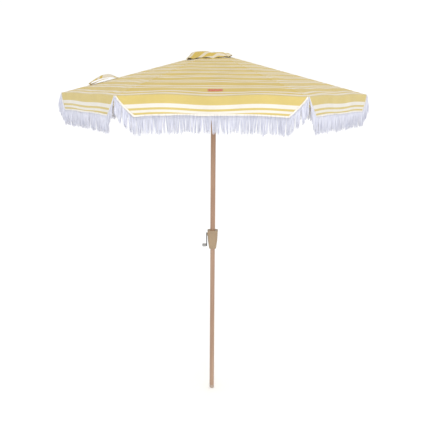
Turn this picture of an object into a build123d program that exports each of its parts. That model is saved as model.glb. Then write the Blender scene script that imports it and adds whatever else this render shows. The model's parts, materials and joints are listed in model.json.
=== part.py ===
from build123d import *
import math
import os

# Beach umbrella with a crank lift: six ribs, six stretchers, a runner, a two-piece pole and a valance.
# Millimetres, +Z up. The origin is the centre of the foot; the front panel faces -Y, the crank is on -X.

# ---------------------------------------------------------------- driving dimensions
RIB_COUNT = 6
TIP_RADIUS = 1040.0  # from the pole's axis to each corner of the canopy
FOLD_HEIGHT = 2180.0  # height of the canopy's outer edge, where the valance starts
RIB_SLOPE = 13.4  # degrees below level

POLE_OD = 35.0
POLE_WALL = 1.8
POLE_STEP = 2.0  # the lower pole's outside is this much thinner
LOWER_POLE_WALL = 2.4
POLE_NECK = 0.4  # the lower pole's end is turned down by this much where the housing grips it
POLE_NECK_BELOW = 2.0  # the neck starts this far below the housing
SPIGOT_CLEARANCE = 0.2
SPIGOT_LENGTH = 50.0
FOOT_HEIGHT = 25.0
FOOT_PLUG_DEPTH = 30.0
FOOT_ROUND = 6.0

HOUSING_LOW = 1092.0
HOUSING_WAIST = 1152.0
HOUSING_HIGH = 1226.6
HOUSING_WIDER = (15.0, 32.0, 39.0)  # than the pole, at the foot, waist and shoulder
HOUSING_DEEPER = (11.0, 18.0, 22.0)
HOUSING_CORNERS = (20.0, 18.0, 15.0)
HOUSING_WALL = 3.0
SCREW_R = 1.5
SCREW_HEAD_R = 2.9
SCREW_HEAD = 2.5
SCREW_BOSS_R = 4.2
SCREW_SPAN = 30.0
SCREW_INSET = 9.5
SCREW_MARGIN = 13.0

CRANK_HEIGHT = 1196.0
CRANK_THROW = 81.0
SHAFT_R = 4.0
RUNNING = 0.04  # radial clearance of a shaft in its bearing
BUSHING_R = 7.0
BUSHING_FLANGE_R = 10.0
BUSHING_FLANGE = 1.5
ARM_THICK = 6.0
ARM_HUB_R = 12.0
ARM_END_R = 8.0
KNOB_R = 11.0
KNOB_LENGTH = 28.0
KNOB_PIN_R = 3.0
KNOB_PIN_HEAD_R = 5.2
KNOB_PIN_HEAD = 3.0
SPOOL_CORE_R = 8.5
SPOOL_FLANGE_R = 13.0
SPOOL_WIDTH = 14.0
SPOOL_FLANGE = 2.0
CORD_R = 1.5
GAP = 0.3  # air between pieces that move past each other

HUB_PIVOT_OUT = 22.5  # from the pole's outside to the ribs' pivots
HUB_PIVOT_RIM = 12.0
HUB_HALF = 12.0
HUB_COLLAR_WALL = 5.5
HUB_COLLAR = 48.0
HUB_BOSS_OUT = 4.5  # past the pole's outside
HUB_BOSS = 6.0
SLOT_GAP = 0.8
PIN_R = 2.0
PIN_RUNNING = 0.05

RIB_WIDTH = 8.0
RIB_DEPTH = 12.0
RIB_END_GAP = 7.0  # from the end of the rib's cap to the canopy's corner
TIP_LENGTH = 32.0
TIP_WALL = 1.8
TIP_BALL_R = 6.5

STRUT_PIVOT_ALONG = 480.0
STRUT_PIVOT_BELOW = 16.0
STRUT_WIDTH = 9.0
STRUT_DEPTH = 10.0
FORK_DEPTH = 20.0
TAB_THICK = 4.0
TAB_GAP = 0.3
TAB_R = 6.0
BRACKET_LENGTH = 26.0
BRACKET_WALL = 1.8
RIVET_HEAD_R = 3.4
RIVET_HEAD = 1.3

RUNNER_GAP = 0.5
RUNNER_WALL = 6.5
RUNNER_BELOW = 30.0
RUNNER_ABOVE = 22.0
RUNNER_FLANGE_RIM = 8.0  # past the stretchers' pins
RUNNER_FLANGE_HALF = 8.0

CORD_OFF_POLE = 1.5
PULLEY_LIP = 3.25
PULLEY_WIDTH = 6.0
PULLEY_SIDE_GAP = 0.6
PULLEY_RIM_GAP = 1.0

CLOTH = 1.0
CLOTH_ABOVE_RIB = 9.8
HUB_TO_CLOTH = 4.0
VALANCE_DROP = 196.0
VALANCE_THICK = 1.5
VALANCE_INSET = 75.0  # how far the flap's lower corner stands in from the rib
VALANCE_START = 8.0
CAP_R = 142.0
CAP_CROWN_R = 96.0
CAP_CROWN_DROP = 4.0
CAP_RIM_ABOVE_CLOTH = 11.0
CAP_THICK = 1.2
FINIAL_R = 21.0
FINIAL_HEIGHT = 11.0
SEAT_WALL = 3.0
SEAT_HEIGHT = 10.0
SEAT_STEM = 16.6
SEAT_STEM_R = 16.0
SEAT_SPIGOT_R = 6.0
SEAT_SPIGOT = 7.0
STRAP_FROM = 632.0
STRAP_TO = 846.0
STRAP_WIDTH = 26.0
STRAP_THICK = 16.0
STRAP_RIB = 3

# ---------------------------------------------------------------- worked-out places
POLE_R = POLE_OD / 2
LOWER_POLE_OD = POLE_OD - POLE_STEP
HOUSING_WIDTHS = [POLE_OD + wider for wider in HOUSING_WIDER]
HOUSING_DEPTHS = [POLE_OD + deeper for deeper in HOUSING_DEEPER]
HUB_PIVOT_R = POLE_R + HUB_PIVOT_OUT
HUB_DISC_R = HUB_PIVOT_R + HUB_PIVOT_RIM
HUB_COLLAR_R = POLE_R + HUB_COLLAR_WALL
HUB_BOSS_R = POLE_R + HUB_BOSS_OUT
RUNNER_FLANGE_R = HUB_PIVOT_R + RUNNER_FLANGE_RIM
CORD_DOWN_Y = POLE_R + CORD_OFF_POLE + CORD_R
PULLEY_CENTRE_Y = CORD_DOWN_Y / 2
PULLEY_GROOVE_R = PULLEY_CENTRE_Y - CORD_R
PULLEY_RIM_R = PULLEY_GROOVE_R + PULLEY_LIP
STEP_ANGLE = 360.0 / RIB_COUNT
SLOPE = math.radians(RIB_SLOPE)
HALF_PANEL = math.cos(math.radians(STEP_ANGLE / 2))
GORE_INNER_R = (HUB_DISC_R + HUB_TO_CLOTH) / HALF_PANEL
RIB_LENGTH = (TIP_RADIUS - HUB_PIVOT_R) / math.cos(SLOPE)
PIVOT_Z = FOLD_HEIGHT + (TIP_RADIUS - HUB_PIVOT_R) * math.tan(SLOPE) - CLOTH_ABOVE_RIB / math.cos(SLOPE)
LINK = math.hypot(STRUT_PIVOT_ALONG, STRUT_PIVOT_BELOW)
LINK_ANGLE = math.degrees(math.atan2(STRUT_PIVOT_BELOW, STRUT_PIVOT_ALONG))
OPEN_ANGLE = 90 - RIB_SLOPE - LINK_ANGLE  # of each link from the vertical
STRUT_TURN = 90 + OPEN_ANGLE
RUNNER_Z = PIVOT_Z - 2 * LINK * math.cos(math.radians(OPEN_ANGLE))
HUB_TOP = PIVOT_Z + HUB_HALF
POLE_TOP = PIVOT_Z - HUB_HALF
CAP_CLAMP_Z = HUB_TOP + SEAT_HEIGHT + SEAT_STEM
OVERALL_HEIGHT = CAP_CLAMP_Z + CAP_THICK + FINIAL_HEIGHT
POLE_JOINT_Z = HOUSING_LOW + 18
CORD_UP_Y = SPOOL_CORE_R + CORD_R + GAP
PULLEY_Z = POLE_TOP + PULLEY_RIM_R + PULLEY_RIM_GAP
HOUSING_HALF = HOUSING_WIDTHS[1] / 2 + (HOUSING_WIDTHS[2] - HOUSING_WIDTHS[1]) / 2 * (
    (CRANK_HEIGHT - HOUSING_WAIST) / (HOUSING_HIGH - HOUSING_WAIST)
)
BUSHING_OUT = -(HOUSING_HALF + 2.5)
ARM_IN = BUSHING_OUT - BUSHING_FLANGE - GAP
ARM_OUT = ARM_IN - ARM_THICK
KNOB_IN = ARM_OUT - GAP
KNOB_OUT = KNOB_IN - KNOB_LENGTH
KNOB_Z = CRANK_HEIGHT - CRANK_THROW
SPIGOT_R = POLE_R - POLE_WALL - SPIGOT_CLEARANCE / 2
BIG = 4000.0


# ---------------------------------------------------------------- helpers
def tube(outer_r, inner_r, low, high):
    """Upright tube on the pole's axis."""
    wall = Cylinder(outer_r, high - low) - Cylinder(inner_r, high - low)
    return Pos(0, 0, (low + high) / 2) * wall


def post(radius, low, high):
    """Upright round bar on the pole's axis."""
    return Pos(0, 0, (low + high) / 2) * Cylinder(radius, high - low)


def bar_x(radius, start, end, y, z):
    """Round bar along X."""
    return Pos((start + end) / 2, y, z) * Rot(0, 90, 0) * Cylinder(radius, abs(end - start))


def bar_y(radius, start, end, x=0.0, z=0.0):
    """Round bar along Y."""
    return Pos(x, (start + end) / 2, z) * Rot(90, 0, 0) * Cylinder(radius, abs(end - start))


def block(low, high):
    """Box between two corners."""
    size = [b - a for a, b in zip(low, high)]
    return Pos(*[(a + b) / 2 for a, b in zip(low, high)]) * Box(*size)


def on_rib(index):
    """Frame of a rib: its pivot is the origin, X runs out along it and Y is tangential."""
    return Rot(0, 0, index * STEP_ANGLE) * Pos(HUB_PIVOT_R, 0, PIVOT_Z) * Rot(0, RIB_SLOPE, 0)


def on_strut(index):
    """Frame of a stretcher: its pivot on the rib is the origin and X runs along it to the runner."""
    out = HUB_PIVOT_R + LINK * math.sin(math.radians(OPEN_ANGLE))
    up = PIVOT_Z - LINK * math.cos(math.radians(OPEN_ANGLE))
    return Rot(0, 0, index * STEP_ANGLE) * Pos(out, 0, up) * Rot(0, STRUT_TURN, 0)


def save(name, *pieces):
    """Write the node's solids as one STEP file."""
    solids = [solid for piece in pieces for solid in piece.solids()]
    shape = solids[0] if len(solids) == 1 else Compound(children=solids)
    export_step(shape, f"parts/{name}.step")


# ---------------------------------------------------------------- pole and foot
def make_lower_pole():
    inner = LOWER_POLE_OD / 2 - LOWER_POLE_WALL
    shoulder = HOUSING_LOW - POLE_NECK_BELOW
    wall = tube(LOWER_POLE_OD / 2, inner, FOOT_HEIGHT, shoulder)
    wall += tube(LOWER_POLE_OD / 2 - POLE_NECK, inner, shoulder, POLE_JOINT_Z)
    spigot = tube(SPIGOT_R, inner, POLE_JOINT_Z, POLE_JOINT_Z + SPIGOT_LENGTH)
    return wall + spigot - joint_pin()


def make_upper_pole():
    wall = tube(POLE_R, POLE_R - POLE_WALL, POLE_JOINT_Z, POLE_TOP)
    shaft_hole = bar_x(SHAFT_R + 2 * GAP, -POLE_OD, POLE_OD, 0, CRANK_HEIGHT)
    return wall - shaft_hole - joint_pin()


def joint_pin():
    """Cross pin that locks the lower pole's spigot in the upper pole."""
    return bar_y(PIN_R, -POLE_R, POLE_R, 0, POLE_JOINT_Z + SPIGOT_LENGTH / 2)


def make_foot_plug():
    cap = post(LOWER_POLE_OD / 2, 0, FOOT_HEIGHT)
    cap = fillet(cap.edges().sort_by(Axis.Z)[0], FOOT_ROUND)
    core = post(LOWER_POLE_OD / 2 - LOWER_POLE_WALL, FOOT_HEIGHT, FOOT_HEIGHT + FOOT_PLUG_DEPTH)
    return cap + core


# ---------------------------------------------------------------- crank housing
def housing_block(inset):
    """Body of the housing, drawn in by inset on every side."""
    levels = (HOUSING_LOW + inset, HOUSING_WAIST, HOUSING_HIGH - inset)
    rows = zip(levels, HOUSING_WIDTHS, HOUSING_DEPTHS, HOUSING_CORNERS)
    faces = [
        Plane.XY.offset(z) * RectangleRounded(w - 2 * inset, d - 2 * inset, r - inset)
        for z, w, d, r in rows
    ]
    return loft(faces, ruled=True)


def screw_places():
    """Centre of each housing screw, as x and z."""
    low, high = HOUSING_LOW + SCREW_MARGIN + 5, HOUSING_HIGH - SCREW_MARGIN
    rise = (low - HOUSING_LOW) / (HOUSING_WAIST - HOUSING_LOW)
    low_half = (HOUSING_WIDTHS[0] + (HOUSING_WIDTHS[1] - HOUSING_WIDTHS[0]) * rise) / 2
    low_x, high_x = low_half - SCREW_BOSS_R - 1.6, HOUSING_WIDTHS[2] / 2 - SCREW_INSET
    return [(side * x, z) for x, z in ((low_x, low), (high_x, high)) for side in (-1, 1)]


def make_screw(x, z):
    head_y = SCREW_SPAN / 2
    shank = bar_y(SCREW_R, -head_y, head_y, x, z)
    return shank + bar_y(SCREW_HEAD_R, head_y, head_y + SCREW_HEAD, x, z)


def make_housing():
    outer = housing_block(0)
    solid = outer - housing_block(HOUSING_WALL)
    half_deep = HOUSING_DEPTHS[2] / 2
    for x, z in screw_places():
        solid += bar_y(SCREW_BOSS_R, -half_deep, half_deep, x, z) & outer
    solid += bar_x(ARM_HUB_R, BUSHING_OUT, -POLE_R, 0, CRANK_HEIGHT)
    solid += bar_x(2 * SHAFT_R, POLE_R, HOUSING_HALF - 1, 0, CRANK_HEIGHT)
    solid -= post(POLE_R, POLE_JOINT_Z, HOUSING_HIGH + 1)
    solid -= post(LOWER_POLE_OD / 2 - POLE_NECK, HOUSING_LOW - 1, POLE_JOINT_Z)
    solid -= bar_x(BUSHING_R, BUSHING_OUT - 1, -POLE_R, 0, CRANK_HEIGHT)
    solid -= bar_x(SHAFT_R + RUNNING, 0, HOUSING_HALF - HOUSING_WALL - 1, 0, CRANK_HEIGHT)
    for x, z in screw_places():
        solid -= make_screw(x, z)
        solid -= bar_y(SCREW_HEAD_R + 0.1, SCREW_SPAN / 2, half_deep + 1, x, z)
    front = solid & block((-BIG, -BIG, 0), (BIG, 0, BIG))
    back = solid & block((-BIG, 0, 0), (BIG, BIG, BIG))
    return front, back


# ---------------------------------------------------------------- crank
def make_bushing():
    sleeve = bar_x(BUSHING_R, BUSHING_OUT, -POLE_R - 1, 0, CRANK_HEIGHT)
    flange = bar_x(BUSHING_FLANGE_R, BUSHING_OUT - BUSHING_FLANGE, BUSHING_OUT, 0, CRANK_HEIGHT)
    return sleeve + flange - bar_x(SHAFT_R + RUNNING, ARM_OUT, 0, 0, CRANK_HEIGHT)


def make_shaft():
    return bar_x(SHAFT_R, ARM_OUT, HOUSING_HALF - HOUSING_WALL - 2, 0, CRANK_HEIGHT)


def make_spool():
    half = SPOOL_WIDTH / 2
    spool = bar_x(SPOOL_CORE_R, -half, half, 0, CRANK_HEIGHT)
    for side in (-1, 1):
        spool += bar_x(SPOOL_FLANGE_R, side * half, side * (half - SPOOL_FLANGE), 0, CRANK_HEIGHT)
    return spool - bar_x(SHAFT_R, -SPOOL_WIDTH, SPOOL_WIDTH, 0, CRANK_HEIGHT)


def make_crank_arm():
    outline = Circle(ARM_HUB_R) + Pos(-CRANK_THROW, 0) * Circle(ARM_END_R)
    plate = extrude(make_hull(outline.edges()), ARM_THICK)
    # The sketch's -X runs down the arm once the plate stands across the shaft.
    arm = Pos(ARM_OUT, 0, CRANK_HEIGHT) * Rot(0, 90, 0) * Rot(0, 0, 180) * plate
    arm -= bar_x(SHAFT_R, ARM_OUT, ARM_IN, 0, CRANK_HEIGHT)
    arm -= bar_x(KNOB_PIN_R, ARM_OUT, ARM_IN, 0, KNOB_Z)
    return arm


def make_knob():
    knob = bar_x(KNOB_R, KNOB_IN, KNOB_OUT, 0, KNOB_Z)
    knob = fillet(knob.edges().filter_by(GeomType.CIRCLE).sort_by(Axis.X)[0], KNOB_R * 0.4)
    knob = fillet(knob.edges().filter_by(GeomType.CIRCLE).sort_by(Axis.X)[-1], KNOB_R * 0.2)
    knob -= bar_x(KNOB_PIN_R + PIN_RUNNING, KNOB_IN, KNOB_OUT, 0, KNOB_Z)
    pocket_in = KNOB_OUT + 2 * KNOB_PIN_HEAD
    return knob - bar_x(KNOB_PIN_HEAD_R + GAP, KNOB_OUT, pocket_in, 0, KNOB_Z)


def make_knob_pin():
    head_in = KNOB_OUT + 2 * KNOB_PIN_HEAD - GAP
    shank = bar_x(KNOB_PIN_R, ARM_IN, head_in, 0, KNOB_Z)
    return shank + bar_x(KNOB_PIN_HEAD_R, head_in, head_in - KNOB_PIN_HEAD, 0, KNOB_Z)


# ---------------------------------------------------------------- hub, pulley and top
def rib_slots(width, floor_r, low, high):
    """Radial slots, one for each rib, open outwards."""
    slot = block((floor_r, -width / 2, low), (HUB_DISC_R + 10, width / 2, high))
    return [Rot(0, 0, i * STEP_ANGLE) * slot for i in range(RIB_COUNT)]


def pivot_pin(index):
    reach = RIB_WIDTH / 2 + SLOT_GAP / 2 + 5
    return Rot(0, 0, index * STEP_ANGLE) * bar_y(PIN_R, -reach, reach, HUB_PIVOT_R, PIVOT_Z)


def make_hub():
    hub = post(HUB_DISC_R, POLE_TOP, HUB_TOP) + post(HUB_COLLAR_R, POLE_TOP - HUB_COLLAR, POLE_TOP)
    hub += post(HUB_BOSS_R, HUB_TOP, HUB_TOP + HUB_BOSS)
    hub -= post(POLE_R, POLE_TOP - HUB_COLLAR, POLE_TOP)
    floor_r = HUB_PIVOT_R - RIB_DEPTH / 2 - 2
    for slot in rib_slots(RIB_WIDTH + SLOT_GAP, floor_r, POLE_TOP - 1, HUB_TOP + 1):
        hub -= slot
    for i in range(RIB_COUNT):
        hub -= pivot_pin(i)
    half = PULLEY_WIDTH / 2 + PULLEY_SIDE_GAP
    reach = PULLEY_RIM_R + PULLEY_RIM_GAP
    low_y, high_y = PULLEY_CENTRE_Y - reach, PULLEY_CENTRE_Y + reach
    hub -= block((-half, low_y, POLE_TOP - 1), (half, high_y, HUB_TOP + HUB_BOSS + 1))
    # The channel for the outer cord opens into the collar's bore, where the pole's wall closes it.
    hub -= block((-half, 0, POLE_TOP - HUB_COLLAR - 1), (half, high_y, POLE_TOP + 1))
    return hub - pulley_pin()


def pulley_pin():
    return bar_x(PIN_R, -2 * PULLEY_WIDTH, 2 * PULLEY_WIDTH, PULLEY_CENTRE_Y, PULLEY_Z)


def make_pulley():
    half = PULLEY_WIDTH / 2
    lip = (PULLEY_WIDTH - 2 * CORD_R - 0.6) / 2
    section = Polyline(
        (PIN_R + PIN_RUNNING, -half),
        (PULLEY_RIM_R, -half),
        (PULLEY_RIM_R, lip - half),
        (PULLEY_GROOVE_R - GAP, lip - half),
        (PULLEY_GROOVE_R - GAP, half - lip),
        (PULLEY_RIM_R, half - lip),
        (PULLEY_RIM_R, half),
        (PIN_R + PIN_RUNNING, half),
        close=True,
    )
    wheel = revolve(Plane.XZ * make_face(section), Axis.Z)
    return Pos(0, PULLEY_CENTRE_Y, PULLEY_Z) * Rot(0, 90, 0) * wheel


def make_cap_seat():
    clamp = CAP_CLAMP_Z
    skirt_r = HUB_BOSS_R + SEAT_WALL
    plate = HUB_TOP + SEAT_HEIGHT
    seat = post(skirt_r, HUB_TOP, plate) - post(HUB_BOSS_R, HUB_TOP, HUB_TOP + HUB_BOSS)
    seat += post(SEAT_STEM_R, plate, clamp)
    return seat + post(SEAT_SPIGOT_R, clamp, clamp + CAP_THICK + SEAT_SPIGOT)


def make_finial():
    base = CAP_CLAMP_Z + CAP_THICK
    dome_r = (FINIAL_R**2 + FINIAL_HEIGHT**2) / (2 * FINIAL_HEIGHT)
    dome = Pos(0, 0, OVERALL_HEIGHT - dome_r) * Sphere(dome_r)
    dome &= post(FINIAL_R, base, OVERALL_HEIGHT)
    return dome - post(SEAT_SPIGOT_R, base, base + SEAT_SPIGOT)


def make_vent_cap():
    clamp = CAP_CLAMP_Z
    rim = FOLD_HEIGHT + (TIP_RADIUS - CAP_R) * math.tan(SLOPE) + CAP_RIM_ABOVE_CLOTH
    section = Polyline(
        (SEAT_SPIGOT_R, clamp),
        (FINIAL_R, clamp),
        (CAP_CROWN_R, clamp - CAP_CROWN_DROP),
        (CAP_R, rim),
        (CAP_R, rim + CAP_THICK),
        (CAP_CROWN_R, clamp - CAP_CROWN_DROP + CAP_THICK),
        (FINIAL_R, clamp + CAP_THICK),
        (SEAT_SPIGOT_R, clamp + CAP_THICK),
        close=True,
    )
    return revolve(Plane.XZ * make_face(section), Axis.Z)


# ---------------------------------------------------------------- ribs and stretchers
def rib_bar(start, end, grow=0.0):
    """Length of the rib's own section, grown all round by a wall."""
    half_w, half_d = RIB_WIDTH / 2 + grow, RIB_DEPTH / 2 + grow
    return block((start, -half_w, -half_d), (end, half_w, half_d))


def make_rib():
    rib = rib_bar(0, RIB_LENGTH - RIB_END_GAP - TIP_WALL - TIP_BALL_R)
    rib += bar_y(RIB_DEPTH / 2, -RIB_WIDTH / 2, RIB_WIDTH / 2)
    return rib - bar_y(PIN_R + PIN_RUNNING, -RIB_WIDTH, RIB_WIDTH)


def make_rib_tip():
    end = RIB_LENGTH - RIB_END_GAP - TIP_BALL_R
    cap = rib_bar(end - TIP_LENGTH, end, TIP_WALL) - rib_bar(end - TIP_LENGTH, end - TIP_WALL)
    ball = Pos(end, 0, 0) * Sphere(TIP_BALL_R)
    return cap + (ball & block((end, -BIG, -BIG), (BIG, BIG, BIG)))


def make_bracket():
    """Sleeve pressed on the rib, with a tab below it that carries the stretcher."""
    low, high = STRUT_PIVOT_ALONG - BRACKET_LENGTH / 2, STRUT_PIVOT_ALONG + BRACKET_LENGTH / 2
    sleeve = rib_bar(low, high, BRACKET_WALL)
    half = TAB_THICK / 2
    below = -STRUT_PIVOT_BELOW
    tab = block(
        (STRUT_PIVOT_ALONG - TAB_R, -half, below),
        (STRUT_PIVOT_ALONG + TAB_R, half, -RIB_DEPTH / 2),
    )
    tab += bar_y(TAB_R, -half, half, STRUT_PIVOT_ALONG, below)
    return sleeve + tab - rib_bar(low, high) - rivet_shank()


def rivet_shank():
    reach = STRUT_WIDTH / 2 + GAP
    return bar_y(PIN_R, -reach, reach, STRUT_PIVOT_ALONG, -STRUT_PIVOT_BELOW)


def make_rivet():
    rivet = rivet_shank()
    inner = STRUT_WIDTH / 2 + GAP
    for side in (-1, 1):
        ends = side * inner, side * (inner + RIVET_HEAD)
        rivet += bar_y(RIVET_HEAD_R, *ends, STRUT_PIVOT_ALONG, -STRUT_PIVOT_BELOW)
    return rivet


def make_strut():
    half_w, half_d = STRUT_WIDTH / 2, STRUT_DEPTH / 2
    strut = block((0, -half_w, -half_d), (LINK, half_w, half_d))
    for x in (0, LINK):
        strut += bar_y(half_d, -half_w, half_w, x)
    slot = TAB_THICK / 2 + TAB_GAP
    strut -= block((-BIG, -slot, -STRUT_DEPTH), (FORK_DEPTH, slot, STRUT_DEPTH))
    strut -= bar_y(PIN_R + PIN_RUNNING, -STRUT_WIDTH, STRUT_WIDTH)
    return strut - strut_pin()


def strut_pin():
    """Pin through the stretcher's lower end, which hooks into the runner."""
    reach = STRUT_WIDTH / 2 + 4
    return bar_y(PIN_R, -reach, reach, LINK)


# ---------------------------------------------------------------- runner and cords
def make_runner():
    bore = POLE_R + RUNNER_GAP
    runner = post(bore + RUNNER_WALL, RUNNER_Z - RUNNER_BELOW, RUNNER_Z + RUNNER_ABOVE)
    low, high = RUNNER_Z - RUNNER_FLANGE_HALF, RUNNER_Z + RUNNER_FLANGE_HALF
    runner += post(RUNNER_FLANGE_R, low, high)
    runner -= post(bore, RUNNER_Z - RUNNER_BELOW, RUNNER_Z + RUNNER_ABOVE)
    floor_r = bore + RUNNER_WALL + 3
    for slot in rib_slots(STRUT_WIDTH + SLOT_GAP, floor_r, low - 1, high + 1):
        runner -= slot
    reach = STRUT_WIDTH / 2 + 4 + GAP
    half = PIN_R + 2 * GAP
    pocket = block((HUB_PIVOT_R - half, -reach, low - 1), (HUB_PIVOT_R + half, reach, RUNNER_Z + half))
    for i in range(RIB_COUNT):
        runner -= Rot(0, 0, i * STEP_ANGLE) * pocket
    return runner


def make_inner_cord():
    """Straight run inside the pole, from the spool up to the pulley."""
    start, end = Vector(0, CORD_UP_Y, CRANK_HEIGHT), Vector(0, 0, PULLEY_Z)
    path = Line(start, end)
    return sweep(Plane(origin=start, z_dir=end - start) * Circle(CORD_R), path=path)


def make_outer_cord():
    """Straight run outside the pole, from the pulley down to the runner."""
    low = RUNNER_Z + RUNNER_ABOVE + GAP
    return Pos(0, CORD_DOWN_Y, 0) * post(CORD_R, low, PULLEY_Z)


# ---------------------------------------------------------------- cloth
def panel_point(radius, angle):
    """Point on the canopy's flat panels beside the rib at angle 0, at a radius along the rib."""
    z = FOLD_HEIGHT + (TIP_RADIUS - radius) * math.tan(SLOPE)
    share = 1.0 if angle == 0 else HALF_PANEL
    turn = math.radians(angle)
    return Vector(radius * share * math.cos(turn), radius * share * math.sin(turn), z)


def make_gore():
    """One rib's share of the canopy: half a panel on each side of it."""
    wings = []
    for side in (-1, 1):
        corners = [panel_point(r, 0) for r in (GORE_INNER_R, TIP_RADIUS)]
        corners += [panel_point(r, side * STEP_ANGLE / 2) for r in (TIP_RADIUS, GORE_INNER_R)]
        face = make_face(Polyline(*corners, close=True))
        wings.append(extrude(face, CLOTH, dir=(0, 0, 1)))
    return wings[0] + wings[1]


def make_valance(side):
    """Half a flap, hanging from the canopy's edge between a rib and the middle of the panel."""
    half_edge = TIP_RADIUS * math.sin(math.radians(STEP_ANGLE / 2))
    low_start = VALANCE_START + VALANCE_INSET
    curve = Spline(
        (VALANCE_START, 0),
        (low_start, -VALANCE_DROP),
        tangents=((0.15, -1), (1, -0.7)),
    )
    outline = curve + Polyline(
        (low_start, -VALANCE_DROP), (half_edge, -VALANCE_DROP), (half_edge, 0), (VALANCE_START, 0)
    )
    flap = extrude(make_face(outline), VALANCE_THICK)
    corner = panel_point(TIP_RADIUS, 0)
    middle = panel_point(TIP_RADIUS, side * STEP_ANGLE / 2)
    along = (middle - corner).normalized()
    inward = Vector(-middle.X, -middle.Y, 0).normalized()
    # The flap's own X runs from the rib to the middle of the panel; its Y is up.
    placed = Plane(origin=corner, x_dir=along, z_dir=along.cross(Vector(0, 0, 1)))
    shape = placed * flap
    if placed.z_dir.dot(inward) < 0:
        shape = Pos(*(inward * VALANCE_THICK)) * shape
    return shape


def make_closure_strap():
    """Tie strap that lies gathered on top of one rib."""
    low = CLOTH_ABOVE_RIB + CLOTH + 0.5
    half = STRAP_WIDTH / 2
    strap = block((STRAP_FROM, -half, low), (STRAP_TO, half, low + STRAP_THICK))
    return fillet(strap.edges().filter_by(Axis.X), STRAP_THICK * 0.3)


# ---------------------------------------------------------------- write every node
def main():
    os.makedirs("parts", exist_ok=True)
    front, back = make_housing()
    save("foot_plug", make_foot_plug())
    save("lower_pole", make_lower_pole())
    save("upper_pole", make_upper_pole())
    save("pole_joint_pin", joint_pin())
    save("housing_front", front)
    save("housing_back", back)
    save("housing_screws", *[make_screw(x, z) for x, z in screw_places()])
    save("crank_bushing", make_bushing())
    save("crank_shaft", make_shaft())
    save("cord_spool", make_spool())
    save("crank_arm", make_crank_arm())
    save("crank_knob", make_knob())
    save("knob_pin", make_knob_pin())
    save("top_hub", make_hub())
    save("rib_pivot_pins", *[pivot_pin(i) for i in range(RIB_COUNT)])
    save("pulley", make_pulley())
    save("pulley_pin", pulley_pin())
    save("cap_seat", make_cap_seat())
    save("finial", make_finial())
    save("vent_cap", make_vent_cap())
    save("runner", make_runner())
    save("lift_cord_inner", make_inner_cord())
    save("lift_cord_outer", make_outer_cord())
    for i in range(RIB_COUNT):
        rib, strut, turn = on_rib(i), on_strut(i), Rot(0, 0, i * STEP_ANGLE)
        save(f"rib_{i}", rib * make_rib())
        save(f"rib_fittings_{i}", rib * make_bracket(), rib * make_rivet(), rib * make_rib_tip())
        save(f"stretcher_{i}", strut * make_strut(), strut * strut_pin())
        save(f"canopy_gore_{i}", turn * make_gore())
        for word, side in (("right", -1), ("left", 1)):
            save(f"valance_{word}_{i}", turn * make_valance(side))
    save("closure_strap", on_rib(STRAP_RIB) * make_closure_strap())
    print("pivot", PIVOT_Z, "runner", RUNNER_Z, "open", OPEN_ANGLE, "link", LINK)


main()
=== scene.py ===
"""Beach umbrella: cloth, fringe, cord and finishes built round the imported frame.

Lengths are metres in the row frame, +Z up. Ribs stand at azimuths of 0, 60 ... 300 degrees, and panel p
lies between rib p and rib p + 1. Across a panel, u runs along its outer edge from the middle and v runs up
the slope from the fold, or y down the flap from the same fold.
"""

import json
import logging
import math
from dataclasses import dataclass
from enum import Enum

import bpy
import numpy as np
from mathutils import Matrix, Vector

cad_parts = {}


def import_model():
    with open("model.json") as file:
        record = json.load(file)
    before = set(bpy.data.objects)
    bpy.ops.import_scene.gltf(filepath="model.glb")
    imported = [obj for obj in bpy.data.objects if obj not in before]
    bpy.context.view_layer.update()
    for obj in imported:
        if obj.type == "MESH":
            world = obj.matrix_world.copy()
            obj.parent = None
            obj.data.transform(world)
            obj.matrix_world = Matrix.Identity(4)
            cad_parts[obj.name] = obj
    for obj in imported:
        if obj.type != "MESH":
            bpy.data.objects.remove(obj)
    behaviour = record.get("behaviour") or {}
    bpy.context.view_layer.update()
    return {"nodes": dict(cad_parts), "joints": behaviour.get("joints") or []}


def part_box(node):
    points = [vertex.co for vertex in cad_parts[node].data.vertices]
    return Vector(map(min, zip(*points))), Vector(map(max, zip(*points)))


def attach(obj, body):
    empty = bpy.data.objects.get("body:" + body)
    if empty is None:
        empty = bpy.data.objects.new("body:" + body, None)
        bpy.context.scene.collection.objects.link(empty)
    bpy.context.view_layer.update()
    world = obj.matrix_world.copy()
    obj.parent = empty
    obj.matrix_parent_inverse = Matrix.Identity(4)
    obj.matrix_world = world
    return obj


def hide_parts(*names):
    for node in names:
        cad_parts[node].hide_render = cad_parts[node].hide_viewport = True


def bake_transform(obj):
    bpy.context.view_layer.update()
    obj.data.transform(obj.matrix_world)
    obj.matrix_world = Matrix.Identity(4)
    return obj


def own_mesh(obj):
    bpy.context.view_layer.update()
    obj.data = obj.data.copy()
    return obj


LOG = logging.getLogger("umbrella")
RIBS = 6
HALF_STEP = math.radians(30)
COS_HALF, SIN_HALF, TAN_HALF = math.cos(HALF_STEP), math.sin(HALF_STEP), math.tan(HALF_STEP)
UP = np.array([0.0, 0.0, 1.0])
INNER = (slice(1, -1), slice(1, -1))  # a padded grid without its first and last row and column
LEAST = 2e-4  # least width of a grid's row, in metres
U_PER_RADIAN = 0.002  # metres of u for each radian round a tube
CAP_ROOM = 0.0012  # metres from the finial's lowest point down to where the cap is clamped
Array = np.ndarray
Colour = tuple[float, float, float]
Material, Object, Socket = bpy.types.Material, bpy.types.Object, bpy.types.NodeSocket


class Side(Enum):
    """The two halves of a rib's cloth, with the sign of the azimuth's change."""

    RIGHT = -1
    LEFT = 1

    @property
    def word(self) -> str:
        """Its part of a piece's name."""
        return self.name.lower()


class Zone(Enum):
    """The flap's own parts: the triangle at the rib, and the rest of the half flap."""

    CORNER = "corner"
    FIELD = "field"


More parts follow.
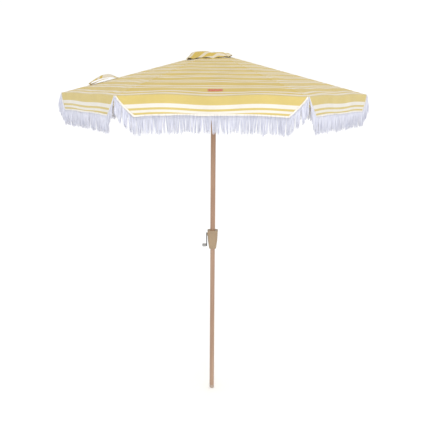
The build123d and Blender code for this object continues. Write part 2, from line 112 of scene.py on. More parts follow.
def panel_at(rib: int, side: Side) -> int:
    """Number of the panel on one side of a rib."""
    return (rib if side is Side.LEFT else rib - 1) % RIBS


# ---- array helpers
def linear(red: int, green: int, blue: int) -> Colour:
    """Linear colour from 0..255 display values.

    Args:
        red: display red.
        green: display green.
        blue: display blue.

    Returns:
        The linear triple.
    """
    share = np.array([red, green, blue]) / 255.0
    low, high = share / 12.92, ((share + 0.055) / 1.055) ** 2.4
    return tuple(float(c) for c in np.where(share <= 0.04045, low, high))


def smooth(x: Array) -> Array:
    """Smooth step from 0 at x = 0 to 1 at x = 1."""
    x = np.clip(x, 0.0, 1.0)
    return x * x * (3 - 2 * x)


def unit(vectors: Array) -> Array:
    """Vectors along the last axis at length one."""
    return vectors / np.maximum(np.linalg.norm(vectors, axis=-1, keepdims=True), 1e-12)


def padded(values: Array) -> Array:
    """Evenly spaced values with one more step at each end."""
    step = values[1] - values[0]
    return np.concatenate([[values[0] - step], values, [values[-1] + step]])


def grid_normals(points: Array, towards: Array = UP) -> Array:
    """Unit normals of a grid from its central differences.

    Args:
        points: grid of points, rows by columns by 3.
        towards: vector that the normals should lean to.

    Returns:
        Unit normals, the same shape as points.
    """
    normals = unit(np.cross(np.gradient(points, axis=1), np.gradient(points, axis=0)))
    sign = np.sign((normals * towards).sum(-1, keepdims=True))
    return normals * np.where(sign == 0, 1.0, sign)


def ring_normals(points: Array) -> Array:
    """Upward unit normals of a grid whose last column joins the first."""
    return grid_normals(np.concatenate([points[:, -1:], points, points[:, :1]], 1))[:, 1:-1]


def link_mesh(name: str, points: Array, faces: list[list[int]], finish: Material) -> Object:
    """Smooth mesh object from points and faces.

    Args:
        name: piece name.
        points: vertices, one row each.
        faces: vertex numbers of each face, turning left round its outward normal.
        finish: the piece's material.

    Returns:
        The new object, linked to the scene.
    """
    mesh = bpy.data.meshes.new(name)
    mesh.from_pydata(points.reshape(-1, 3).tolist(), [], faces)
    mesh.polygons.foreach_set("use_smooth", np.ones(len(mesh.polygons), bool))
    mesh.materials.append(finish)
    mesh.update()
    obj = bpy.data.objects.new(name, mesh)
    bpy.context.scene.collection.objects.link(obj)
    LOG.info("made %s", name)
    return obj


def put_uv(obj: Object, uv: Array) -> None:
    """UV map "cloth", in metres, from one pair for each vertex.

    Args:
        obj: the piece.
        uv: one pair for each vertex, in its own order.
    """
    mesh = obj.data
    layer = mesh.uv_layers.new(name="cloth")
    corners = np.zeros(len(mesh.loops), np.int32)
    mesh.loops.foreach_get("vertex_index", corners)
    layer.uv.foreach_set("vector", uv.reshape(-1, 2)[corners].astype(np.float32).ravel())


def cloth_sheet(
    name: str, points: Array, normals: Array, uv: Array, thick: float, finish: Material, ring: bool = False
) -> Object:
    """Closed thin sheet: the grid, the same grid moved inwards along its normals, and a rim between them.

    Args:
        name: piece name.
        points: outer face, rows by columns by 3.
        normals: unit normals of the outer face.
        uv: rows by columns by 2, in metres.
        thick: thickness of the cloth.
        finish: cloth material.
        ring: True if the last column joins the first.

    Returns:
        The sheet, with the given normals as its shading normals.
    """
    rows, cols = points.shape[:2]
    number = np.arange(rows * cols).reshape(rows, cols)
    right = np.roll(number, -1, axis=1) if ring else number[:, 1:]
    left = number if ring else number[:, :-1]
    quads = np.stack([left[:-1], right[:-1], right[1:], left[1:]], -1).reshape(-1, 4)
    rims = [np.stack([left[0], right[0]], -1), np.stack([right[-1], left[-1]], -1)]
    if not ring:
        rims += [np.stack([number[:-1, -1], number[1:, -1]], -1), np.stack([number[1:, 0], number[:-1, 0]], -1)]
    rim = np.concatenate(rims)
    middle = rows // 2
    facing = np.cross(points[middle, 1] - points[middle, 0], points[middle + 1, 0] - points[middle, 0])
    if facing @ normals[middle, 0] < 0:
        quads, rim = quads[:, ::-1], rim[:, ::-1]
    count = rows * cols
    walls = np.stack([rim[:, 1], rim[:, 0], rim[:, 0] + count, rim[:, 1] + count], -1)
    faces = np.concatenate([quads, quads[:, ::-1] + count, walls])
    flat_n = normals.reshape(-1, 3)
    outer = points.reshape(-1, 3)
    both = np.concatenate([outer, outer - thick * flat_n])
    obj = link_mesh(name, both, faces.tolist(), finish)
    put_uv(obj, np.concatenate([uv.reshape(-1, 2)] * 2))
    wall_n = unit(np.cross(both[walls[:, 1]] - both[walls[:, 0]], both[walls[:, 3]] - both[walls[:, 0]]))
    shading = np.concatenate([flat_n[quads], -flat_n[quads[:, ::-1]], np.repeat(wall_n[:, None], 4, 1)])
    obj.data.normals_split_custom_set(shading.reshape(-1, 3).tolist())
    return obj
def padded_sheet(
    name: str, points: Array, uv: Array, thick: float, finish: Material, towards: Array = UP
) -> Object:
    """Closed thin sheet from a padded grid, whose extra rows and columns give the edges their normals."""
    normals = grid_normals(points, towards)
    return cloth_sheet(name, points[INNER], normals[INNER], uv[INNER], thick, finish)


def mount(piece: Object, body: str, node: str = "") -> None:
    """Rides a piece on its body.

    Args:
        piece: the piece.
        body: body that carries it.
        node: node that it replaces, if any.
    """
    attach(piece, body)
    if node:
        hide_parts(node)
def tube_faces(count: int, rings: int, sides: int) -> list[list[int]]:
    """Faces of count closed tubes of the same rings and sides, numbered tube by tube.

    Args:
        count: number of tubes.
        rings: rings along each tube.
        sides: points round each ring.

    Returns:
        Side quads and end caps.
    """
    number = np.arange(rings * sides).reshape(rings, sides)
    turned = np.roll(number, -1, axis=1)
    quads = np.stack([number[:-1], turned[:-1], turned[1:], number[1:]], -1).reshape(-1, 4)
    shift = np.arange(count)[:, None, None] * rings * sides
    ends = np.stack([number[0][::-1], number[-1]])
    return (quads[None] + shift).reshape(-1, 4).tolist() + (ends[None] + shift).reshape(-1, sides).tolist()


def tubes(
    name: str, paths: Array, radii: Array, across: Array, outward: Array, sides: int, finish: Material
) -> Object:
    """Closed tubes: each ring is its path point plus its radius round two given directions.

    Args:
        name: piece name.
        paths: tubes by rings by 3.
        radii: tubes by rings, or tubes by rings by 2 for an oval.
        across: first ring direction, broadcast against paths.
        outward: second ring direction.
        sides: points round each ring.
        finish: material.

    Returns:
        One object that holds all the tubes, with u round and v along each in its UV map.
    """
    radii = radii[..., None].repeat(2, -1) if radii.ndim == 2 else radii
    turn = np.arange(sides) * 2 * math.pi / sides
    first = np.cos(turn)[:, None] * np.broadcast_to(across, paths.shape)[:, :, None]
    second = np.sin(turn)[:, None] * np.broadcast_to(outward, paths.shape)[:, :, None]
    points = paths[:, :, None] + radii[:, :, None, :1] * first + radii[:, :, None, 1:] * second
    count, rings = paths.shape[:2]
    faces = tube_faces(count, rings, sides)
    along = paths[0, -1] - paths[0, 0]
    if np.cross(np.broadcast_to(across, paths.shape)[0, 0], np.broadcast_to(outward, paths.shape)[0, 0]) @ along < 0:
        faces = [face[::-1] for face in faces]
    obj = link_mesh(name, points, faces, finish)
    step = np.linalg.norm(np.diff(paths, axis=1, prepend=paths[:, :1]), axis=-1).cumsum(1)
    long = np.broadcast_to(step[:, :, None], (count, rings, sides))
    round_ = np.broadcast_to(turn * U_PER_RADIAN, (count, rings, sides))
    put_uv(obj, np.stack([round_, long], -1))
    return obj


class Ripples:
    """Sum of seeded sine waves over two parameters, about one high."""

    def __init__(self, seed: int, waves: int, shortest: float, longest: float) -> None:
        """Draws the waves.

        Args:
            seed: number that fixes the draw.
            waves: how many waves are added.
            shortest: shortest wavelength in metres.
            longest: longest wavelength in metres.
        """
        draw = np.random.default_rng(seed)
        length = np.exp(draw.uniform(math.log(shortest), math.log(longest), waves))
        heading = draw.uniform(0, math.pi, waves)
        self.kx, self.ky = 2 * math.pi * np.cos(heading) / length, 2 * math.pi * np.sin(heading) / length
        self.phase = draw.uniform(0, 2 * math.pi, waves)
        self.size = (length / longest) ** 0.7 / math.sqrt(waves)

    def at(self, x: Array, y: Array) -> Array:
        """Height of the ripples where the parameters are x and y."""
        turn = x[..., None] * self.kx + y[..., None] * self.ky + self.phase
        return (np.sin(turn) * self.size).sum(-1)


# ---- finishes
class Shader:
    """Small builder of one material's nodes round a Principled shader."""

    def __init__(self, name: str, **fixed: object) -> None:
        """Starts the material.

        Args:
            name: material name.
            fixed: Principled inputs that are the same all over, with spaces as underscores.
        """
        self.material = bpy.data.materials.new(name)
        self.material.use_nodes = True
        self.tree = self.material.node_tree
        self.skin = self.tree.nodes["Principled BSDF"]
        for key, value in fixed.items():
            self.skin.inputs[key.replace("_", " ")].default_value = value

    def node(self, kind: str, ports: dict | None = None, **settings: object) -> bpy.types.Node:
        """New node.

        Args:
            kind: node type without its prefix.
            ports: input name or number to a value, or to the output that feeds it.
            settings: node properties.

        Returns:
            The node.
        """
        made = self.tree.nodes.new("ShaderNode" + kind)
        for key, value in settings.items():
            setattr(made, key, value)
        for key, value in (ports or {}).items():
            if isinstance(value, Socket):
                self.tree.links.new(value, made.inputs[key])
            else:
                made.inputs[key].default_value = value
        return made

    def math(self, operation: str, first: object, second: object = 0.0) -> Socket:
        """Result of one Math node on two sockets or numbers."""
        return self.node("Math", {0: first, 1: second}, operation=operation).outputs[0]

    def place(self, source: str = "Object", scale: tuple[float, float, float] = (1, 1, 1)) -> Socket:
        """Coordinates of the piece, from Object or its own UV map, times scale.

        Args:
            source: Object, or anything else for the UV map.
            scale: factor along each axis.

        Returns:
            The coordinates.
        """
        if source == "Object":
            start = self.node("TexCoord").outputs["Object"]
        else:
            start = self.node("UVMap", uv_map="cloth").outputs[0]
        return self.node("Mapping", {"Vector": start, "Scale": scale}).outputs[0]

    def noise(self, where: Socket, scale: float, detail: float = 3.0) -> Socket:
        """Noise value from 0 to 1 at the given scale."""
        return self.node("TexNoise", {"Vector": where, "Scale": scale, "Detail": detail}).outputs["Fac"]

    def ramp(
        self, value: Socket, stops: list[tuple[float, Colour]], stepped: bool = False
    ) -> Socket:
        """Colour ramp.

        Args:
            value: number from 0 to 1.
            stops: place and colour of each stop, in order.
            stepped: True for hard edges.

        Returns:
            The colour.
        """
        made = self.node("ValToRGB", {"Fac": value})
        band = made.color_ramp
        band.interpolation = "CONSTANT" if stepped else "LINEAR"
        while len(band.elements) < len(stops):
            band.elements.new(0.5)
        for element, (where, colour) in zip(band.elements, stops):
            element.position, element.color = where, (*colour, 1.0)
        return made.outputs["Color"]

    def mix(self, factor: object, first: object, second: object, blend: str = "MIX") -> Socket:
        """Result of one colour Mix node."""
        ports = {"Factor": factor, 6: first, 7: second}
        return self.node("Mix", ports, data_type="RGBA", blend_type=blend).outputs[2]

    def bump(self, height: Socket, distance: float, strength: float = 1.0) -> None:
        """Feeds the shader's normal from a height."""
        made = self.node("Bump", {"Height": height, "Distance": distance, "Strength": strength})
        self.feed("Normal", made.outputs[0])

    def gloss(self, value: Socket, rough: float, below: float = 0.08, above: float = 0.12) -> None:
        """Feeds the shader's roughness: value 0 to 1 gives rough - below to rough + above."""
        ports = {"Value": value, "To Min": rough - below, "To Max": rough + above}
        self.feed("Roughness", self.node("MapRange", ports).outputs[0])

    def feed(self, name: str, socket: Socket) -> None:
        """Feeds one input of the shader."""
        self.tree.links.new(socket, self.skin.inputs[name])


@dataclass(frozen=True)
class WovenCloth:
    """Plain-weave canvas whose stripes follow v, the second number of its UV map, and lie closer up the slope.

    The stops are metres down the flap, or metres of the slope's own measure, which is shift + v (gain + more v).
    """

    name: str
    white: Colour = linear(223, 219, 210)
    yellow: Colour = linear(204, 184, 115)
    # painted shade: the slope's white and yellow are darker copies of the flap's canvas colours
    upper_white: Colour = linear(219, 208, 186)
    upper_yellow: Colour = linear(204, 178, 90)
    valance_stops: tuple[float, ...] = (0.0455, 0.0665, 0.0785, 0.092, 0.1045)
    ramp_per_metre: float = 4.0
    slope_start: float = 0.018
    repeat: float = 0.1015
    slope_stops: tuple[float, ...] = (0.0155, 0.0315, 0.047)
    closing: tuple[float, ...] = (0.0067, 0.70, 0.575)
    edge_waver: float = 0.0012
    thread: float = 0.0011
    roughness: float = 0.86

    def stripes(self, shader: Shader, v: Socket) -> Socket:
        """Colour of the stripe at v, from the slope's stops above the fold and the flap's stops below it. Above the
        fold it takes darker copies of the canvas white and yellow, painted shade on the slope.

        Args:
            shader: the material's nodes.
            v: metres up the slope, below nothing down the flap.

        Returns:
            The colour.
        """
        shift, gain, more = self.closing
        closer = shader.math("MULTIPLY", v, shader.math("ADD", shader.math("MULTIPLY", v, more), gain))
        upper = shader.math("ADD", closer, shift)
        repeats = shader.math("DIVIDE", shader.math("SUBTRACT", upper, self.slope_start), self.repeat)
        places = [0.0, *(stop / self.repeat for stop in self.slope_stops)]
        # painted shade: the slope's stripes use the darker copies of the canvas white and yellow
        colours = [self.upper_white, self.upper_yellow] * 2
        slope = shader.ramp(shader.math("FRACT", repeats), list(zip(places, colours)), stepped=True)
        drop = shader.math("MULTIPLY", v, -self.ramp_per_metre)
        places = [0.0, *(stop * self.ramp_per_metre for stop in self.valance_stops)]
        hang = shader.ramp(drop, list(zip(places, [self.yellow, self.white] * 3)), stepped=True)
        return shader.mix(shader.math("GREATER_THAN", upper, self.slope_start), hang, slope)

    def material(self) -> Material:
        """Builds the stripes, the weave's bump and the slight unevenness of the dye.

        Returns:
            The material.
        """
        fixed = {"Sheen_Weight": 0.25, "Sheen_Roughness": 0.45, "Specular_IOR_Level": 0.2}
        shader = Shader(self.name, Roughness=self.roughness, **fixed)
        flat = shader.place("UV")
        split = shader.node("SeparateXYZ", {0: flat})
        across, along = split.outputs[0], split.outputs[1]
        waver = shader.math("SUBTRACT", shader.noise(flat, scale=900.0, detail=1.0), 0.5)
        colour = self.stripes(shader, shader.math("ADD", along, shader.math("MULTIPLY", waver, self.edge_waver)))
        clouds = shader.noise(shader.place(), scale=7.0)
        slubs = shader.noise(shader.place("UV", (40.0, 900.0, 1.0)), scale=1.0, detail=2.0)
        full = (1.0, 1.0, 1.0)
        cloudy = shader.ramp(clouds, [(0.3, (0.93, 0.925, 0.91)), (0.7, full)])
        slubby = shader.ramp(slubs, [(0.35, (0.95, 0.95, 0.945)), (0.65, full)])
        for shade in (cloudy, slubby):
            colour = shader.mix(1.0, colour, shade, "MULTIPLY")
        shader.feed("Base Color", colour)
        pitch = math.pi / self.thread
        warp, weft = (
            shader.math("ABSOLUTE", shader.math("SINE", shader.math("MULTIPLY", way, pitch))) for way in (across, along)
        )
        weave = shader.math("ADD", shader.math("MULTIPLY", warp, weft), shader.noise(flat, scale=260.0, detail=2.0))
        shader.bump(weave, distance=0.00025, strength=0.6)
        return shader.material


@dataclass(frozen=True)
class CottonYarn:
    """Twisted cotton: slanting plies along v, with a fluffy sheen."""

    name: str
    # pale is the yarn's lit colour; shaded is a darker copy, painted shade between strands
    pale: Colour = linear(220, 221, 232)
    shaded: Colour = linear(198, 200, 215)
    ply: float = 0.004

    def material(self) -> Material:
        """Builds the twist's bump and painted shade: noise streaks that blend the pale yarn colour with its darker
        shaded copy.

        Returns:
            The material.
        """
        shader = Shader(self.name, Roughness=0.92, Sheen_Weight=0.35, Sheen_Roughness=0.5, Specular_IOR_Level=0.12)
        uv = shader.node("SeparateXYZ", {0: shader.place("UV")})
        slant = shader.math("ADD", uv.outputs[1], shader.math("MULTIPLY", uv.outputs[0], 0.6))
        twist = shader.math("SINE", shader.math("MULTIPLY", slant, 2 * math.pi / self.ply))
        place = shader.place("Object", (1.0, 1.0, 0.12))
        # painted shade: noise streaks of the darker shaded copy over the pale yarn colour
        tone = shader.noise(place, 130.0, 2.0)
        shader.feed("Base Color", shader.ramp(tone, [(0.35, self.shaded), (0.6, self.pale)]))
        shader.bump(shader.math("ADD", shader.math("MULTIPLY", twist, 0.5), tone), 0.0004, 0.5)
        return shader.material


@dataclass(frozen=True)
class WoodLook:
    """Wood-look film on the pole: grain drawn out along Z, under a thin satin coat."""

    name: str
    light: Colour
    dark: Colour
    roughness: float = 0.42

    def material(self) -> Material:
        """Builds the grain's colour, its pores and the satin coat.

        Returns:
            The material.
        """
        shader = Shader(self.name, Coat_Weight=0.18, Coat_Roughness=0.3, Specular_IOR_Level=0.4)
        wide = shader.noise(shader.place("Object", (26.0, 26.0, 1.3)), 1.6, 4.0)
        fine = shader.noise(shader.place("Object", (230.0, 230.0, 5.0)), 1.0, 3.0)
        grain = shader.math("ADD", shader.math("MULTIPLY", wide, 0.65), shader.math("MULTIPLY", fine, 0.35))
        mid = tuple((a + b) / 2 for a, b in zip(self.light, self.dark))
        shader.feed("Base Color", shader.ramp(grain, [(0.36, self.dark), (0.5, mid), (0.64, self.light)]))
        shader.gloss(fine, self.roughness, below=0.06, above=0.1)
        shader.bump(fine, distance=0.0003, strength=0.35)
        return shader.material


@dataclass(frozen=True)
class Moulded:
    """Moulded plastic: fine spark texture, faint clouding, slightly polished by handling."""

    name: str
    colour: Colour
    roughness: float = 0.45
    texture: float = 900.0
    depth: float = 0.00012

    def material(self) -> Material:
        """Builds the clouding, the uneven gloss and the spark texture.

        Returns:
            The material.
        """
        shader = Shader(self.name)
        place = shader.place()
        cloud = shader.noise(place, 14.0)
        low = tuple(c * 0.88 for c in self.colour)
        shader.feed("Base Color", shader.ramp(cloud, [(0.3, low), (0.7, self.colour)]))
        shader.gloss(shader.noise(place, 45.0), self.roughness)
        shader.bump(shader.noise(place, self.texture, detail=2.0), self.depth, strength=0.5)
        return shader.material


@dataclass(frozen=True)
class DrawnMetal:
    """Drawn or coated metal with fine lines and a few rubbed places."""

    name: str
    colour: Colour
    worn: Colour
    metallic: float = 1.0
    roughness: float = 0.3

    def material(self) -> Material:
        """Builds the rubbed places, the lines and their gloss.

        Returns:
            The material.
        """
        shader = Shader(self.name, Metallic=self.metallic)
        place = shader.place()
        wear = shader.noise(place, 30.0, 4.0)
        shader.feed("Base Color", shader.ramp(wear, [(0.55, self.colour), (0.8, self.worn)]))
        shader.gloss(shader.noise(place, 160.0), self.roughness)
        lines = shader.noise(shader.place("Object", (900.0, 900.0, 60.0)), scale=1.0, detail=1.0)
        shader.bump(lines, distance=0.00005, strength=0.4)
        return shader.material


# ---- the canopy's form
@dataclass(frozen=True)
class CanopyForm:
    """Where the cloth lies: six panels between straight ribs, and the flaps that hang from their edges."""

    corner_r: float = 1.04
    fold_z: float = 2.181
    slope: float = math.radians(14.7)
    inner_r: float = 0.06466
    strip_half: float = 0.027
    puff: float = 0.003
    ripple_high: float = 0.0024
    pull_high: float = 0.0010
    pull_gap: float = 0.041
    seam_high: float = 0.0016
    stitch_high: float = 0.0006
    flap_drop: float = 0.113
    flap_inset: float = 0.088
    inset_at: float = 0.1
    inset_power: float = 1.2
    flutter_high: float = 0.0042
    lean_out: float = 0.003
    flare: float = 0.010
    hem_lift: tuple[float, ...] = (0.006, 0.004, 0.007, 0.004, 0.010, 0.006)
    centre_rise: tuple[float, ...] = (0.004, 0.006, 0.008, 0.005, 0.011, 0.003)
    ripples: tuple[Ripples, ...] = tuple(Ripples(40 + p, 14, 0.11, 0.6) for p in range(RIBS))
    flutter: tuple[Ripples, ...] = tuple(Ripples(70 + p, 7, 0.10, 0.34) for p in range(RIBS))

    @property
    def edge_d(self) -> float:
        """Distance from the pole's axis to the middle of an outer edge."""
        return self.corner_r * COS_HALF

    @property
    def pitch(self) -> float:
        """Slope of a panel down its middle."""
        return math.atan(math.tan(self.slope) / COS_HALF)

    @property
    def run(self) -> float:
        """Length of a panel up the slope, from the fold to the hub's cloth ring."""
        return (self.edge_d - self.inner_r * COS_HALF) / math.cos(self.pitch)

    @property
    def half_edge(self) -> float:
        """Half the length of an outer edge."""
        return self.corner_r * SIN_HALF

    @property
    def strip_u(self) -> float:
        """Width of the rib strip on one panel, measured along the panel's edge."""
        return self.strip_half / COS_HALF
    @property
    def border_u(self) -> float:
        """u of the line between a rib's strip and the half panel, at the fold."""
        return self.half_edge - self.strip_u

    def axes(self, panel: int) -> tuple[Array, Array]:
        """Outward and sideways directions of a panel.

        Args:
            panel: panel number.

        Returns:
            Two unit vectors.
        """
        turn = math.radians(30 + 60 * panel)
        out = np.array([math.cos(turn), math.sin(turn), 0.0])
        return out, np.array([-out[1], out[0], 0.0])

    def normal(self, panel: int) -> Array:
        """Direction square to a panel's plane."""
        return math.cos(self.pitch) * UP + math.sin(self.pitch) * self.axes(panel)[0]

    def spot(self, panel: int, away: Array, u: Array, level: Array) -> Array:
        """Points at a distance from the pole's axis, a place along the outer edge and a height.

        Args:
            panel: panel number.
            away: distance outwards.
            u: along the outer edge from the middle.
            level: height above the ground.

        Returns:
            Points, with a last axis of 3.
        """
        away, u, level = (np.asarray(part)[..., None] for part in (away, u, level))
        out, along = self.axes(panel)
        return away * out + u * along + level * UP

    def half_width(self, v: Array) -> Array:
        """Half the panel's width at v up the slope."""
        return (self.edge_d - v * math.cos(self.pitch)) * TAN_HALF

    def lift(self, panel: int, u: Array) -> Array:
        """Rise of the hem between a corner and the middle: one smooth hump on each half."""
        return self.hem_lift[panel] * 0.5 * (1 - np.cos(2 * math.pi * np.abs(u) / self.half_edge))

    def point(self, panel: int, u: Array, v: Array) -> Array:
        """Point of the panel: its plane, puffed up between the ribs, plus tension ripples and the rib's seam.

        Args:
            panel: panel number.
            u: along the outer edge from the middle.
            v: up the slope from the fold.

        Returns:
            Points, with a last axis of 3.
        """
        wide = np.maximum(self.half_width(v), 1e-3)
        from_rib = np.maximum(wide - np.abs(u), 0.0) * COS_HALF
        share = np.clip(v / self.run, 0, 1)
        billow = self.puff * np.sin(math.pi * share**0.72) * (1 - np.clip(u / wide, -1, 1) ** 2)
        free = smooth(from_rib / 0.06) * smooth(v / 0.07)
        ripple = self.ripple_high * self.ripples[panel].at(u, v * 1.7)
        pull = self.pull_high * np.sin(2 * math.pi * v / self.pull_gap + 3 * np.sin(9 * v + panel))
        pull = pull * (from_rib / 0.012) * np.exp(-from_rib / 0.016)
        height = billow + ripple * free + pull * smooth(v / 0.04)
        seam = self.seam_high * np.exp(-((from_rib / 0.0045) ** 2))
        seam = seam + self.stitch_high * np.exp(-(((from_rib - 0.011) / 0.002) ** 2))
        level = self.fold_z + v * math.sin(self.pitch) + seam + self.lift(panel, u) * (1 - smooth(v / 0.2))
        base = self.spot(panel, self.edge_d - v * math.cos(self.pitch), u, level)
        return base + height[..., None] * self.normal(panel)

    def inset(self, y: Array) -> Array:
        """How far the flap's side stands in from the corner: a curve that starts steep and flattens."""
        return self.flap_inset * (np.maximum(y, 0.0) / self.inset_at) ** self.inset_power

    def bottom(self, panel: int, u: Array) -> Array:
        """Drop of the flap's lower edge, a little higher towards the middle."""
        return self.flap_drop - self.centre_rise[panel] * (1 - smooth(np.abs(u) / 0.34))

    def belly(self, panel: int, u: Array, y: Array) -> Array:
        """How far the flap stands out at u and y: a slow flutter that grows downwards, and a flare at the corners.

        Args:
            panel: panel number.
            u: along the outer edge from the middle.
            y: down from the fold.

        Returns:
            Metres outwards.
        """
        share = np.maximum(y, 0.0) / self.flap_drop
        corner = smooth((np.abs(u) - 0.36) / 0.16)
        flutter = self.flutter_high * self.flutter[panel].at(u, y * 0.4)
        return 0.0006 + share * (flutter + self.lean_out) + self.flare * corner * share

    def flap_point(self, panel: int, u: Array, y: Array) -> Array:
        """Point of the flap: straight down from the hem, moved outwards by its belly."""
        return self.spot(panel, self.edge_d + self.belly(panel, u, y), u, self.fold_z + self.lift(panel, u) - y)


# ---- canopy, valance and fringe
@dataclass
class Canopy:
    """Six striped panels: a strip along each rib and a half panel on each side of it."""

    form: CanopyForm
    cloth: Material
    thick: float = 0.0008
    strip_cols: int = 28
    field_cols: int = 44
    rows: int = 116
    keep: float = 0.038

    def fold_axis(self, rib: int, side: Side, share: float = 1.0) -> tuple[Vector, Vector]:
        """Direction and anchor of the cloth's gathering as the ribs fold: along the panel, square to the rib.

        Args:
            rib: rib number.
            side: which half of its cloth.
            share: where the line lies on the rib's strip, 0 at the rib and 1 where the strip ends.

        Returns:
            The direction and a point on that line.
        """
        form, turn, panel = self.form, math.radians(60 * rib), panel_at(rib, side)
        level, fall = math.cos(form.slope), -math.sin(form.slope)
        down_rib = np.array([level * math.cos(turn), level * math.sin(turn), fall])
        axis = unit(np.cross(form.normal(panel), down_rib))
        axis = Vector(axis * np.sign(axis @ form.axes(panel)[1]) * side.value)
        u = -side.value * (form.half_edge - share * form.strip_u)
        return axis, Vector(form.spot(panel, form.edge_d, u, form.fold_z))

    def grid(self, across: Array) -> list[Array]:
        """v and the place across for each point of a piece, as a padded grid."""
        return np.meshgrid(padded(np.linspace(0, self.form.run, self.rows + 1)), padded(across), indexing="ij")

    def make_strip(self, rib: int) -> None:
        """Strip of cloth over a rib, half of it on each panel, with the felled seam along its middle.

        Args:
            rib: rib number.
        """
        form = self.form
        v, q = self.grid(np.linspace(-1, 1, self.strip_cols + 1))
        from_rib = np.abs(q) * form.strip_u
        before = form.point((rib - 1) % RIBS, form.half_width(v) - from_rib, v)
        after = form.point(rib, from_rib - form.half_width(v), v)
        points = np.where(q[..., None] < 0, before, after)
        uv = np.stack([q * form.strip_u, v], -1)
        strip = padded_sheet(f"rib_strip_{rib}", points, uv, self.thick, self.cloth)
        mount(strip, f"rib_{rib}", node=f"canopy_gore_{rib}")

    def make_field(self, rib: int, side: Side) -> None:
        """Half panel from the rib's strip to the middle of the panel.

        Args:
            rib: rib number.
            side: which half of its cloth.
        """
        form = self.form
        v, s = self.grid(np.linspace(0, 1, self.field_cols + 1))
        u = -side.value * s * np.maximum(form.half_width(v) - form.strip_u, LEAST)
        points = form.point(panel_at(rib, side), u, v)
        half = padded_sheet(f"panel_{side.word}_{rib}", points, np.stack([u, v], -1), self.thick, self.cloth)
        mount(half, f"rib_{rib}")
        axis, anchor = self.fold_axis(rib, side)
        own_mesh(half)

    def make(self) -> None:
        """Makes every strip and half panel."""
        for rib in range(RIBS):
            self.make_strip(rib)
            for side in Side:
                self.make_field(rib, side)


